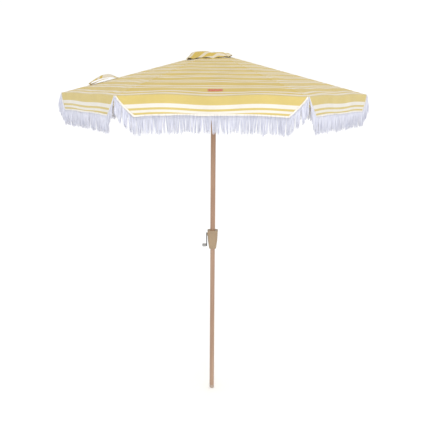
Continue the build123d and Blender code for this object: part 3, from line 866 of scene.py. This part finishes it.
@dataclass
class Valance:
    """Six flaps in halves, bound with braid along their free edges and hung with fringe."""

    form: CanopyForm
    canopy: Canopy
    cloth: Material
    yarn: Material
    tape: Material
    joints: dict
    corner_keep: float = 0.4
    thick: float = 0.0009
    rows: int = 22
    field_cols: int = 70
    corner_cols: int = 10
    row_pad: float = 0.02
    braid_half: float = 0.0055
    braid_thick: float = 0.0017
    braid_over: float = 0.001
    strand_gap: float = 0.0040
    strand_long: float = 0.095
    strand_r: float = 0.00155
    strand_taper: tuple[float, ...] = (1.0, 1.12, 1.15, 1.1, 0.95, 0.55)
    ragged: float = 0.0045
    stray: float = 0.0022
    lean: float = 0.0035
    sway: float = 0.003
    corner_flare: float = 0.016
    root_up: float = 0.0015
    layer_gap: float = 0.0016
    clump_gap: float = 0.0155
    clumps: int = 64

    def split_row(self) -> float:
        """Share of the drop at which the flap's side crosses the rib strip's line."""
        form = self.form
        return form.inset_at * (form.strip_u / form.flap_inset) ** (1 / form.inset_power) / form.flap_drop

    def edge_line(self, panel: int, zone: Zone) -> tuple[Array, Array]:
        """Free edge of the half flap as |u| and y, evenly spaced, from the corner to the middle of the panel.

        Args:
            panel: panel number.
            zone: which part of the edge.

        Returns:
            |u| and y of each point.
        """
        form = self.form
        share = np.linspace(0, 1, 400) ** 0.8
        side_u = form.half_edge - form.inset(share * form.flap_drop)
        side_y = share * form.bottom(panel, side_u)
        low_u = np.linspace(side_u[-1], 0, 400)[1:]
        u = np.concatenate([side_u, low_u])
        y = np.concatenate([side_y, form.bottom(panel, low_u)])
        gone = np.concatenate([[0], np.hypot(np.diff(u), np.diff(y)).cumsum()])
        at_border = float(np.interp(-form.border_u, -u, gone))
        ends = (0.0, at_border) if zone is Zone.CORNER else (at_border, float(gone[-1]))
        steps = max(int((ends[1] - ends[0]) / self.strand_gap), 2)
        there = np.linspace(*ends, steps + 1)
        return np.interp(there, gone, u), np.interp(there, gone, y)

    def make_flap(self, rib: int, side: Side, zone: Zone) -> tuple[Object, float]:
        """Striped cloth of one part of a half flap.

        Args:
            rib: rib number.
            side: which half of its cloth.
            zone: which part.

        Returns:
            The sheet and its flat area.
        """
        form, panel, split = self.form, panel_at(rib, side), self.split_row()
        corner = zone is Zone.CORNER
        top, cols = (split, self.corner_cols) if corner else (1.0, self.field_cols)
        share = np.linspace(0, top, self.rows + 1)
        if not corner:
            share = np.sort(np.append(share, split))
        share = np.concatenate([[-self.row_pad], share, [top + self.row_pad]])
        r, s = np.meshgrid(share, padded(np.linspace(0, 1, cols + 1)), indexing="ij")
        free = form.half_edge - form.inset(r * form.flap_drop)
        if corner:
            size = form.border_u + s * np.maximum(free - form.border_u, LEAST)
        else:
            size = s * np.minimum(form.border_u, free)
        u, y = -side.value * size, r * form.bottom(panel, size)
        points, uv = form.flap_point(panel, u, y), np.stack([u, -y], -1)
        name = f"flap_{zone.value}_{side.word}_{rib}"
        flap = padded_sheet(name, points, uv, self.thick, self.cloth, form.axes(panel)[0])
        wide = np.diff(size[INNER], axis=1).sum(1)
        area = float(((wide[1:] + wide[:-1]) / 2 * np.diff(y[INNER][:, cols // 2])).sum())
        return flap, area

    def make_braid(self, rib: int, side: Side, zone: Zone) -> Object:
        """Braid along the free edge: a flat oval carried along the edge, on the cloth.

        Args:
            rib: rib number.
            side: which half of its cloth.
            zone: which part of the half flap.

        Returns:
            The braid.
        """
        form, panel = self.form, panel_at(rib, side)
        size, y = self.edge_line(panel, zone)
        out = form.axes(panel)[0]
        path = form.flap_point(panel, -side.value * size, y)
        inward = unit(np.cross(out, unit(np.gradient(path, axis=0)))) * side.value
        path = path + inward * (self.braid_half - self.braid_over)
        oval = np.broadcast_to(np.array([self.braid_half, self.braid_thick]), (1, len(path), 2))
        name = f"braid_{zone.value}_{side.word}_{rib}"
        return tubes(name, path[None], oval, inward[None], out, 10, self.tape)

    def make_fringe(self, rib: int, side: Side, zone: Zone) -> Object:
        """Fringe strands in two layers, hanging from the free edge in loose clumps with ragged ends.

        Each strand drops straight, drawn a little to its clump's middle and then apart again, and stands out
        from the flap by a share that grows towards its end.

        Args:
            rib: rib number.
            side: which half of its cloth.
            zone: which part of the half flap.

        Returns:
            All its strands as one piece.
        """
        form, panel = self.form, panel_at(rib, side)
        draw = np.random.default_rng(1000 + 20 * rib + 5 * (side is Side.LEFT) + (zone is Zone.FIELD))
        size, y = self.edge_line(panel, zone)
        size = np.concatenate([size, size[:-1] + np.diff(size) / 2])
        y = np.concatenate([y, y[:-1] + np.diff(y) / 2])
        count = len(size)
        layer = np.concatenate([np.full((count + 1) // 2, 1.0), np.full(count // 2, -1.0)])
        clump = np.floor(size / self.clump_gap)
        centre = (clump + 0.5) * self.clump_gap
        hue = np.random.default_rng(7 + panel).normal(0, 1, (self.clumps, 3))
        own = hue[np.clip(clump, 0, self.clumps - 1).astype(int)]
        long = self.strand_long + self.ragged * own[:, 0] + draw.normal(0, self.ragged, count)
        draw_in = draw.uniform(0.1, 0.5, count)
        stray = draw.normal(0, self.stray, count)
        rings = np.linspace(0, 1, len(self.strand_taper))
        pinch = np.sin(math.pi * 0.62 * rings)[None] * draw_in[:, None]
        lean = self.lean * own[:, 1][:, None] * rings[None] ** 1.4
        path_u = size[:, None] + (centre - size)[:, None] * pinch + lean + stray[:, None] * rings[None] ** 1.3
        path_y = y[:, None] - self.root_up + long[:, None] * rings[None]
        corner = smooth((size - 0.40) / 0.12)[:, None]
        root = form.belly(panel, size, y)[:, None] + self.layer_gap * layer[:, None]
        swing = self.sway * own[:, 2][:, None] + draw.normal(0, self.sway, (count, 1))
        away = root + swing * rings[None] ** 1.2 + self.corner_flare * corner * np.sin(math.pi * 0.6 * rings)[None]
        level = form.fold_z + form.lift(panel, size)[:, None] - path_y
        paths = form.spot(panel, form.edge_d + away, -side.value * path_u, level)
        radii = self.strand_r * np.array(self.strand_taper)[None] * draw.uniform(0.8, 1.15, (count, 1))
        out, along = form.axes(panel)
        return tubes(f"fringe_{zone.value}_{side.word}_{rib}", paths, radii, along, out, 4, self.yarn)

    def make_part(self, rib: int, side: Side, zone: Zone) -> None:
        """Args:
            rib: rib number.
            side: which half of its cloth.
            zone: which part of the half flap.
        """
        form, is_field, body = self.form, zone is Zone.FIELD, f"valance_{side.word}_{rib}"
        flap, area = self.make_flap(rib, side, zone)
        braid = self.make_braid(rib, side, zone)
        fringe = self.make_fringe(rib, side, zone)
        axis, anchor = self.canopy.fold_axis(rib, side, 1.0 if is_field else 0.5)
        for piece in (flap, braid, fringe) if is_field else (fringe,):
            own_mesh(piece)
        for piece, node in ((flap, body if is_field else ""), (braid, ""), (fringe, "")):
            mount(piece, body, node)

    def make(self) -> None:
        """Makes all twelve half flaps."""
        for rib in range(RIBS):
            for side in Side:
                for zone in Zone:
                    self.make_part(rib, side, zone)
# ---- small cloth pieces
@dataclass
class VentCap:
    """Ruffled cap of cloth at the top, blown a little to one side."""

    cloth: Material
    clamp_z: float
    above: float = 0.0013
    hole_r: float = 0.0065
    rim_r: float = 0.148
    lean: float = 0.036
    lean_back: float = 0.024
    drop: float = 0.032
    puff: float = 0.010
    ruffle_out: float = 0.004
    ruffle_up: float = 0.0042
    thick: float = 0.0009
    rings: int = 44
    turns: int = 180

    def make(self) -> None:
        """Cap as rings round the pole: flat and puffed near the middle, turning down to a ruffled rim."""
        turn = np.arange(self.turns) * 2 * math.pi / self.turns
        rho, a = np.meshgrid(np.linspace(0, 1, self.rings + 1), turn, indexing="ij")
        left, right = np.maximum(-np.cos(a), 0), np.maximum(np.cos(a), 0)
        ruffle = np.sin(9 * a + 1.3 * np.sin(2 * a)) * 0.6 + np.sin(14 * a + 2.0) * 0.4
        rim = self.rim_r + self.lean * left**1.5 - self.lean_back * right**2 + self.ruffle_out * ruffle
        radius = self.hole_r + (rim - self.hole_r) * rho
        fall = (self.drop + 0.005 * left - 0.020 * right**2) * smooth((rho - 0.75) / 0.28)
        dome = np.sin(math.pi * np.clip(rho * 1.15, 0, 1)) ** 0.8
        rise = (self.puff * (0.35 + 0.9 * left**0.7) - 0.002 * right) * dome
        wave = self.ruffle_up * ruffle * rho**3 + 0.0016 * np.sin(5 * a + 1) * np.sin(math.pi * rho)
        x, y = radius * np.cos(a), radius * np.sin(a)
        points = np.stack([x, y, self.clamp_z + self.above + rise - fall + wave], -1)
        uv = np.stack([x, 0.051 - y + 0.36 * x], -1)
        cap = cloth_sheet("ruffled_cap", points, ring_normals(points), uv, self.thick, self.cloth, ring=True)
        mount(cap, "pole", node="vent_cap")


@dataclass
class Crown:
    """Six-sided collar of cloth sewn over the panels' upper ends, under the cap."""

    form: CanopyForm
    cloth: Material
    corners_r: tuple[float, ...] = (0.0840, 0.0830, 0.076, 0.069, 0.061, 0.052, 0.042, 0.032, 0.024, 0.0195)
    top_z: float = 2.4423
    above: float = 0.0032
    thick: float = 0.0009
    turns: int = 120

    def make(self) -> None:
        """Collar as six-sided rings: each follows the panels' planes, then levels off below the cap."""
        turn = np.arange(self.turns) * 2 * math.pi / self.turns
        radius, a = np.meshgrid(np.array(self.corners_r), turn, indexing="ij")
        from_middle = (a % (2 * HALF_STEP)) - HALF_STEP
        reach = radius * COS_HALF / np.cos(from_middle)
        plane = self.form.fold_z + (self.form.corner_r - radius) * math.tan(self.form.slope) + self.above
        level = self.top_z - 0.5 * (np.sqrt((self.top_z - plane) ** 2 + 1e-6) + (self.top_z - plane))
        level = level + 0.0005 * np.sin(24 * a) * smooth((radius - 0.03) / 0.04)
        points = np.stack([reach * np.cos(a), reach * np.sin(a), level], -1)
        uv = np.stack([reach * from_middle, 0.150 - radius * COS_HALF], -1)
        collar = cloth_sheet("crown_collar", points, ring_normals(points), uv, self.thick, self.cloth, ring=True)
        mount(collar, "pole")


@dataclass
class TieStrap:
    """Folded tie strap sewn on top of one rib: one ribbon bent back over itself.

    The bends are distances from the pole's axis and heights over the rib's line. The marks are shares of the
    ribbon's length and the v of the cloth there.
    """

    form: CanopyForm
    cloth: Material
    rib: int = 3
    half_width: float = 0.021
    thick: float = 0.0016
    cols: int = 13
    rows: int = 97
    blur: int = 13
    bow: float = 0.0035
    sway: float = 0.010
    tilt: float = 0.010
    bends: tuple[tuple[float, ...], ...] = (
        (0.646, 0.664, 0.682, 0.704, 0.735, 0.775, 0.815, 0.850, 0.846, 0.812, 0.780, 0.745, 0.715),
        (0.0022, 0.008, 0.020, 0.030, 0.036, 0.037, 0.027, 0.012, 0.0035, 0.0055, 0.012, 0.016, 0.011),
    )
    marks: tuple[tuple[float, ...], ...] = ((0, 0.10, 0.16, 0.38, 0.46, 1), (0.002, 0.012, 0.0175, 0.038, 0.085, 0.135))

    def line(self, bends: tuple[float, ...]) -> Array:
        """Smooth line through numbers given at each bend, as a column.

        Args:
            bends: a number for each bend.

        Returns:
            The line's numbers, one for each row.
        """
        fine = np.interp(np.linspace(0, len(bends) - 1, self.rows), np.arange(len(bends)), bends)
        window = np.hanning(self.blur) / np.hanning(self.blur).sum()
        return np.convolve(np.pad(fine, self.blur // 2, "edge"), window, "valid")[:, None]

    def make(self) -> None:
        """Ribbon along a smooth line through its bends, bowed across and turned slightly as it goes."""
        reach, height = (self.line(bends) for bends in self.bends)
        gone, s = np.meshgrid(np.arange(self.rows) / (self.rows - 1), np.linspace(-1, 1, self.cols), indexing="ij")
        wide = self.half_width * (1 - 0.18 * np.sin(math.pi * gone) ** 2)
        side = s * wide + self.sway * np.sin(3.1 * math.pi * gone) * gone
        bow = self.bow * (1 - s**2) * np.sin(math.pi * gone)
        tilt = self.tilt * s * np.sin(math.pi * np.clip(gone / 0.6, 0, 1))
        level = self.form.fold_z + (self.form.corner_r - reach) * math.tan(self.form.slope)
        level = level + height + bow - tilt + 0.002 * s * np.sin(4 * math.pi * gone)
        turn = math.radians(60 * self.rib)
        x = reach * math.cos(turn) - side * math.sin(turn)
        y = reach * math.sin(turn) + side * math.cos(turn)
        points = np.stack([x, y, level], -1)
        middle = self.cols // 2
        cross = unit(np.cross(np.gradient(points, axis=1), np.gradient(points, axis=0)))
        normals = cross * np.sign(cross[2, middle, 2])
        uv = np.stack([s * wide, np.interp(gone, *self.marks)], -1)
        strap = cloth_sheet("tie_strap", points, normals, uv, self.thick, self.cloth)
        mount(strap, f"rib_{self.rib}", node="closure_strap")


@dataclass
class SewnLabel:
    """Small blank label sewn on the front panel, with its row of stitches."""

    form: CanopyForm
    canopy: Canopy
    weave: Material
    thread: Material
    panel: int = 4
    rib: int = 5
    u_span: tuple[float, float] = (-0.022, 0.060)
    v_span: tuple[float, float] = (0.090, 0.127)
    raise_by: float = 0.0012
    thick: float = 0.0008
    inset: float = 0.003
    stitch_gap: float = 0.0045
    stitch_long: float = 0.0028
    stitch_r: float = 0.0004

    def make(self) -> None:
        """Label as a thin sheet that follows the panel just above it, and stitches along its edge."""
        v, u = np.meshgrid(np.linspace(*self.v_span, 13), np.linspace(*self.u_span, 21), indexing="ij")
        ground = self.form.point(self.panel, u, v)
        normals = grid_normals(ground)
        uv = np.stack([u, v], -1)
        label = cloth_sheet("sewn_label", ground + self.raise_by * normals, normals, uv, self.thick, self.weave)
        wide, tall = self.u_span[1] - self.u_span[0], self.v_span[1] - self.v_span[0]
        around = np.arange(0, 2 * (wide + tall) - 4 * self.inset, self.stitch_gap)
        w, t = wide - 2 * self.inset, tall - 2 * self.inset
        corners_s = np.array([0, w, w + t, 2 * w + t, 2 * (w + t)])
        corners_u = np.array([0, w, w, 0, 0]) + self.u_span[0] + self.inset
        corners_v = np.array([0, 0, t, t, 0]) + self.v_span[0] + self.inset
        ends = np.stack([around, around + self.stitch_long], 1)
        line_u, line_v = np.interp(ends, corners_s, corners_u), np.interp(ends, corners_s, corners_v)
        base = self.form.point(self.panel, line_u, line_v) + (self.raise_by + 0.0002) * UP
        mid = base.mean(1, keepdims=True) + self.stitch_r * UP
        paths = np.concatenate([base[:, :1], mid, base[:, 1:]], 1)
        sideways = unit(np.cross(unit(paths[:, -1:] - paths[:, :1]), UP))
        radii = np.full(paths.shape[:2], self.stitch_r)
        stitches = tubes("label_stitches", paths, radii, sideways, UP, 5, self.thread)
        axis, anchor = self.canopy.fold_axis(self.rib, Side.RIGHT)
        for piece in (label, stitches):
            mount(piece, f"rib_{self.rib}")
            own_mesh(piece)


@dataclass
class LiftCord:
    """Outer run of the lift cord, from the pulley down to the runner."""

    finish: Material
    radius: float = 0.0015
    rings: int = 90

    def make(self) -> None:
        """Round tube on the line of its solid, with a slight braid in its radius."""
        low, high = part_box("lift_cord_outer")
        x, y = (low[0] + high[0]) / 2, (low[1] + high[1]) / 2
        z = np.linspace(high[2], low[2], self.rings)
        path = np.stack([np.full_like(z, x), np.full_like(z, y), z], -1)[None]
        radii = self.radius * (1 + 0.04 * np.sin(np.arange(self.rings) * 2.1))[None]
        cord = tubes("lift_cord", path, radii, np.array([1.0, 0, 0]), np.array([0, 1.0, 0]), 12, self.finish)
        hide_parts("lift_cord_outer")
        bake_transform(cord)


# ---- finishes of the frame's own nodes
@dataclass
class HardParts:
    """Puts a finish on every node that is shown as it comes."""

    finishes: dict[str, Material]
    places: tuple[tuple[str, tuple[str, ...]], ...] = (
        ("lower_wood", ("lower_pole",)),
        ("upper_wood", ("upper_pole",)),
        ("foot", ("foot_plug",)),
        ("housing", ("housing_front", "housing_back")),
        ("steel", ("housing_screws", "pole_joint_pin", "crank_shaft", "knob_pin", "pulley_pin")),
        ("steel", ("rib_pivot_pins", "rib_fittings")),
        ("hub", ("crank_bushing", "cord_spool", "top_hub", "pulley", "cap_seat", "runner")),
        ("arm", ("crank_arm",)),
        ("knob", ("crank_knob",)),
        ("finial", ("finial",)),
        ("cord", ("lift_cord_inner",)),
        ("rib", ("rib_", "stretcher_")),
    )

    def dress(self, nodes: dict[str, Object]) -> None:
        """Assigns each shown node's material slots by the first finish that lists how its name starts.

        Args:
            nodes: the frame's objects by name.
        """
        for name, obj in nodes.items():
            if obj.hide_render:
                continue
            key = next(finish for finish, starts in self.places if name.startswith(starts))
            for place in obj.material_slots:
                place.material = self.finishes[key]
            LOG.info("dressed %s with %s", name, key)


# ---- studio
@dataclass
class Studio:
    """Camera, pale floor, bright sky and two soft lamps."""

    distance: float = 4.162
    height: float = 2.2485
    look_down: float = 12.13
    turned: float = 0.71
    aside: float = 0.03
    roll: float = 0.36
    lens: float = 50.74
    sky: float = 1.02
    floor_colour: Colour = (1.0, 1.0, 1.0)
    floor_half: float = 600.0
    floor_points: int = 7

    def add(self, data: bpy.types.ID) -> Object:
        """New object of the scene, named as its data.

        Args:
            data: camera or lamp data.

        Returns:
            The object.
        """
        made = bpy.data.objects.new(data.name, data)
        bpy.context.scene.collection.objects.link(made)
        return made

    def make_camera(self) -> None:
        """Camera that looks along +Y, turned a little about the pole's axis and about its own line of sight."""
        data = bpy.data.cameras.new("studio_camera")
        data.lens, data.sensor_width = self.lens, 36.0
        data.clip_end = 2000.0
        camera = self.add(data)
        turn = math.radians(self.turned)
        camera.location = (self.distance * math.sin(turn), -self.distance * math.cos(turn), self.height)
        heading = Matrix.Rotation(turn + math.radians(self.aside), 3, "Z")
        tip = Matrix.Rotation(math.radians(90 - self.look_down), 3, "X")
        roll = Matrix.Rotation(math.radians(self.roll), 3, "Z")
        camera.rotation_euler = (heading @ tip @ roll).to_euler()
        bpy.context.scene.camera = camera

    def make_floor(self) -> None:
        """Large pale floor, a few dozen faces."""
        shader = Shader("floor_paint", Roughness=0.9, Emission_Strength=0.06)
        grain = shader.noise(shader.place(), 3.0, 2.0)
        pale = tuple(c * 0.985 for c in self.floor_colour)
        shader.feed("Base Color", shader.ramp(grain, [(0.3, pale), (0.7, self.floor_colour)]))
        line = np.linspace(-self.floor_half, self.floor_half, self.floor_points)
        x, y = np.meshgrid(line, line, indexing="ij")
        points = np.stack([x, y, np.full_like(x, -0.0005)], -1)
        number = np.arange(x.size).reshape(x.shape)
        faces = np.stack([number[:-1, :-1], number[1:, :-1], number[1:, 1:], number[:-1, 1:]], -1).reshape(-1, 4)
        link_mesh("studio_floor", points, faces.tolist(), shader.material)

    def make_lamp(self, name: str, place: tuple, aim: tuple, size: float, power: float) -> None:
        """Square soft lamp aimed at a point.

        Args:
            name: lamp name.
            place: where it stands.
            aim: point that it faces.
            size: side in metres.
            power: watts.
        """
        data = bpy.data.lights.new(name, "AREA")
        data.shape, data.size, data.energy = "SQUARE", size, power
        lamp = self.add(data)
        lamp.location = place
        lamp.rotation_euler = (Vector(aim) - Vector(place)).to_track_quat("-Z", "Y").to_euler()

    def light(self) -> None:
        """Bright plain sky and soft lamps above the front."""
        world = bpy.data.worlds.new("studio_sky")
        world.use_nodes = True
        world.node_tree.nodes["Background"].inputs["Color"].default_value = (1.0, 1.0, 1.0, 1.0)
        world.node_tree.nodes["Background"].inputs["Strength"].default_value = self.sky
        scene = bpy.context.scene
        scene.world = world
        scene.view_settings.view_transform = "Standard"
        self.make_lamp("key", (0.2, -6.0, 2.6), (0, 0, 2.1), 3.0, 100.0)
        self.make_lamp("fill", (3.6, -4.2, 2.6), (0, 0, 1.6), 3.0, 14.0)

    def make(self) -> None:
        """Makes the whole studio."""
        self.make_camera()
        self.make_floor()
        self.light()


def make_finishes() -> dict[str, Material]:
    """Every finish of the hard parts, by the name that HardParts uses.

    Returns:
        The materials by name.
    """
    finishes = {
        "upper_wood": WoodLook("upper_wood_film", linear(172, 141, 118), linear(148, 114, 93)),
        "lower_wood": WoodLook("lower_wood_film", linear(173, 144, 122), linear(150, 119, 98)),
        "foot": Moulded("foot_plastic_grey", linear(176, 158, 142), 0.5),
        "housing": Moulded("housing_plastic_tan", linear(158, 136, 109), 0.4),
        "hub": Moulded("hub_plastic_white", linear(232, 230, 224), 0.42),
        "finial": Moulded("finial_plastic_pale", linear(206, 204, 196), 0.35),
        "knob": Moulded("knob_plastic_grey", linear(150, 150, 150), 0.4),
        "arm": DrawnMetal("arm_dark_coat", linear(36, 35, 35), linear(66, 64, 62), 0.1, 0.5),
        "steel": DrawnMetal("bright_steel_pins", linear(190, 190, 190), linear(215, 213, 210), 1.0, 0.28),
        "rib": DrawnMetal("rib_white_coat", linear(226, 224, 218), linear(200, 198, 192), 0.1, 0.38),
        "cord": CottonYarn("cord_fibre_white"),
    }
    return {key: finish.material() for key, finish in finishes.items()}


def corners(bounds: tuple) -> list[list[float]]:
    """Lowest and highest corner as plain lists of numbers."""
    return [[float(c) for c in corner] for corner in bounds]


def main() -> None:
    """Builds the umbrella round the frame, in order."""
    logging.basicConfig(level=logging.INFO, format="%(name)s: %(message)s")
    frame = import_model()
    Studio().make()

    finishes = make_finishes()
    form = CanopyForm()
    cloth = WovenCloth("striped_canvas").material()
    yarn = CottonYarn("fringe_cotton").material()
    # the tape's shaded colour is painted shade, streaked in by noise
    tape = CottonYarn("binding_tape", pale=linear(228, 223, 214), shaded=linear(214, 209, 200)).material()
    # the label uses one tan for the flap colours and for the slope's painted-shade copies alike
    tan = dict.fromkeys(("white", "yellow", "upper_white", "upper_yellow"), linear(198, 94, 44))
    label_weave = WovenCloth("label_weave", thread=0.0006, **tan).material()

    joints = {joint["name"]: joint for joint in frame["joints"]}
    canopy = Canopy(form, cloth)
    makers = (
        canopy,
        Valance(form, canopy, cloth, yarn, tape, joints),
        VentCap(cloth, float(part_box("finial")[0][2]) - CAP_ROOM),
        Crown(form, cloth),
        TieStrap(form, cloth),
        SewnLabel(form, canopy, label_weave, yarn),
        LiftCord(finishes["cord"]),
    )
    for maker in makers:
        maker.make()
        LOG.info("finished %s", type(maker).__name__)
    HardParts(finishes).dress(frame["nodes"])


if __name__ == "__main__":
    main()
